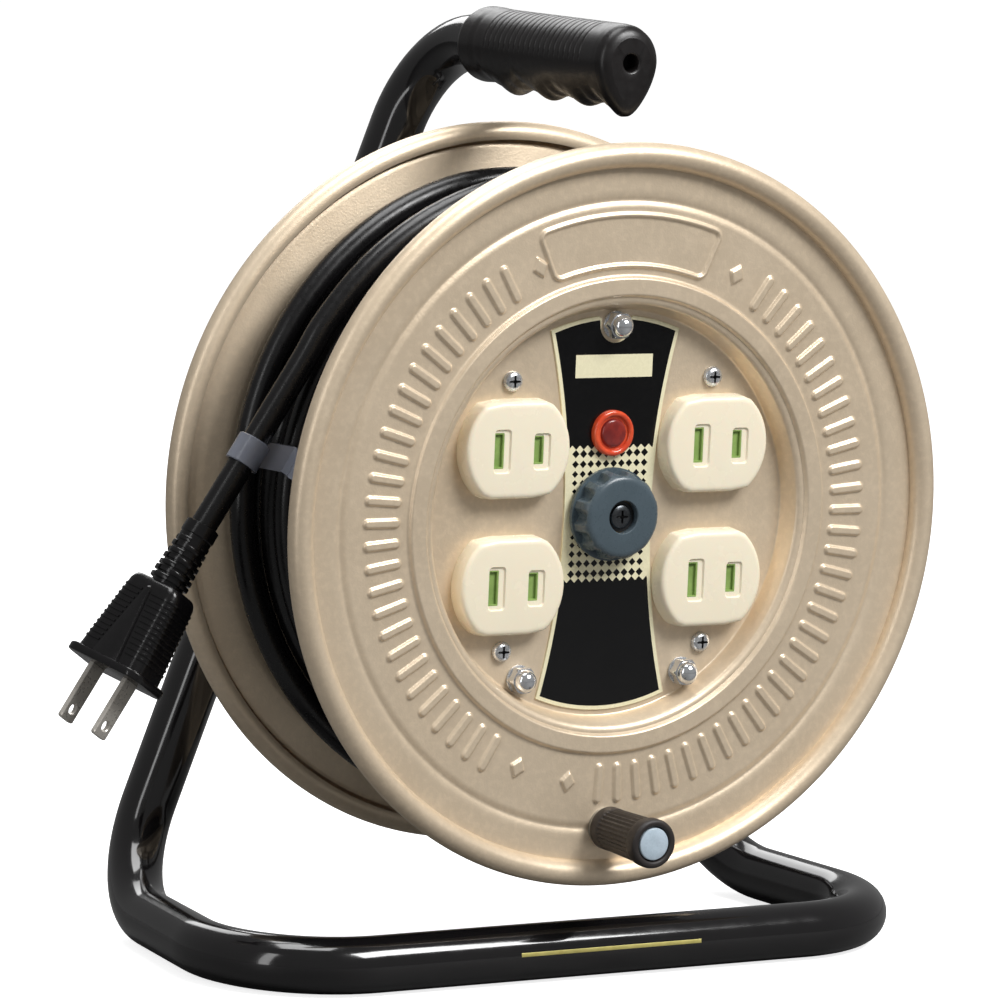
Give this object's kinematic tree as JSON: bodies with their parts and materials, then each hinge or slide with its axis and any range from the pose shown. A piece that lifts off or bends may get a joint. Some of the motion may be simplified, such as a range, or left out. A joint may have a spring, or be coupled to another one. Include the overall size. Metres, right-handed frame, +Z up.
{
  "type": "extension cord reel",
  "caption": "Cord reel on a bent tube stand: a stamped drum with outlets, pilot lamp, brake knob and winding crank, a wound black cord with a moulded plug, and a ribbed carrying grip.",
  "frame": {"origin": "on the floor at the middle of the base loop, between its front and rear corners and halfway across", "axes": "+Z up; +Y from the outlets to the rear, along the drum's axle; +X to the right as one faces the outlets"},
  "size_m": [0.2656, 0.1522, 0.2694],
  "materials": {
    "tube_black": "gloss black stove enamel",
    "zinc": "bright zinc plate",
    "chrome": "polished nickel-chrome plate",
    "weld": "weld bead under black enamel",
    "grip_black": "matt moulded polypropylene",
    "crank_black": "matt moulded plastic with fine ribs",
    "cap_grey": "pale blue-grey moulded plastic",
    "cap_black": "satin moulded plastic",
    "drum_champagne": "champagne metallic paint, fine grain",
    "barrel_steel": "plain galvanised sheet",
    "cord_black": "satin black PVC sheath",
    "plug_black": "gloss black moulded PVC",
    "blade_nickel": "nickel-plated brass",
    "band_clear": "translucent grey soft plastic",
    "outlet_ivory": "ivory urea moulding",
    "liner_green": "green moulded shutter body",
    "brass": "plain brass",
    "label_print": "black and cream printed sheet",
    "rear_label": "bare anodised sheet",
    "lamp_red": "translucent red-orange lens",
    "knob_grey": "slate grey moulded plastic",
    "bush_nylon": "natural acetal",
    "steel": "turned steel",
    "block_grey": "natural moulded plastic",
    "wire_white": "PVC insulated wire"
  },
  "bodies": {
    "stand": {"stand_tube": "tube_black", "leg_end_cap": "cap_black", "axle_bracket": "tube_black", "bracket_welds": "weld", "axle_shaft": "steel", "thrust_washer": "bush_nylon", "axle_spacer": "steel", "axle_rear_washer": "zinc", "axle_rear_nut": "zinc", "hand_grip": "grip_black", "knob_screw": "zinc", "knob_stop_washer": "tube_black", "cord_tail": "cord_black", "cord_band": "band_clear", "strain_relief": "plug_black", "plug_body": "plug_black", "plug_blades": "blade_nickel"},
    "drum": {"cord_gland": "cap_black", "cord_inner_layers": "cord_black", "cord_outer_layer": "cord_black", "crank_pin": "steel", "data_plate": "label_print", "domed_nuts": "chrome", "drum_barrel": "barrel_steel", "drum_wires": "wire_white", "front_flange": "drum_champagne", "front_washers": "zinc", "hub_bush_front": "bush_nylon", "hub_bush_rear": "bush_nylon", "hub_sleeve": "steel", "inner_lead": "cord_black", "outlet_contacts_lower_left": "brass", "outlet_contacts_lower_right": "brass", "outlet_contacts_upper_left": "brass", "outlet_contacts_upper_right": "brass", "outlet_liner_lower_left": "liner_green", "outlet_liner_lower_right": "liner_green", "outlet_liner_upper_left": "liner_green", "outlet_liner_upper_right": "liner_green", "outlet_lower_left": "outlet_ivory", "outlet_lower_right": "outlet_ivory", "outlet_screws": "zinc", "outlet_upper_left": "outlet_ivory", "outlet_upper_right": "outlet_ivory", "pilot_lamp_holder": "cap_black", "pilot_lamp_lens": "lamp_red", "rear_flange": "drum_champagne", "rear_plate": "rear_label", "rear_washers": "zinc", "terminal_block": "block_grey", "terminal_screws": "brass", "thermal_protector": "cap_black", "tie_bolts": "zinc"},
    "crank": {"crank_sleeve": "crank_black", "crank_cap": "cap_grey"},
    "pressure_washer_body": {"pressure_washer": "steel"},
    "brake_knob_body": {"brake_knob": "knob_grey", "knob_insert": "brass"}
  },
  "joints": [
    {"name": "drum_spin", "type": "hinge", "parent": "stand", "child": "drum", "pos_m": [0, -0.02, 0.1315], "axis": [0, 1, 0], "continuous": true},
    {"name": "crank_grip_spin", "type": "hinge", "parent": "drum", "child": "crank", "pos_m": [0, -0.068, 0.043], "axis": [0, 1, 0], "continuous": true},
    {"name": "pressure_washer_slide", "type": "slide", "parent": "stand", "child": "pressure_washer_body", "axis": [0, 1, 0], "range_m": [0, 0.000625]},
    {"name": "brake_knob_turn", "type": "hinge", "parent": "pressure_washer_body", "child": "brake_knob_body", "pos_m": [0, -0.053, 0.1315], "axis": [0, 1, 0], "range_deg": [0, 180]}
  ],
  "couplings": [
    {"joint": "brake_knob_turn", "follows": "pressure_washer_slide", "rad_per_m": 5026.5}
  ]
}
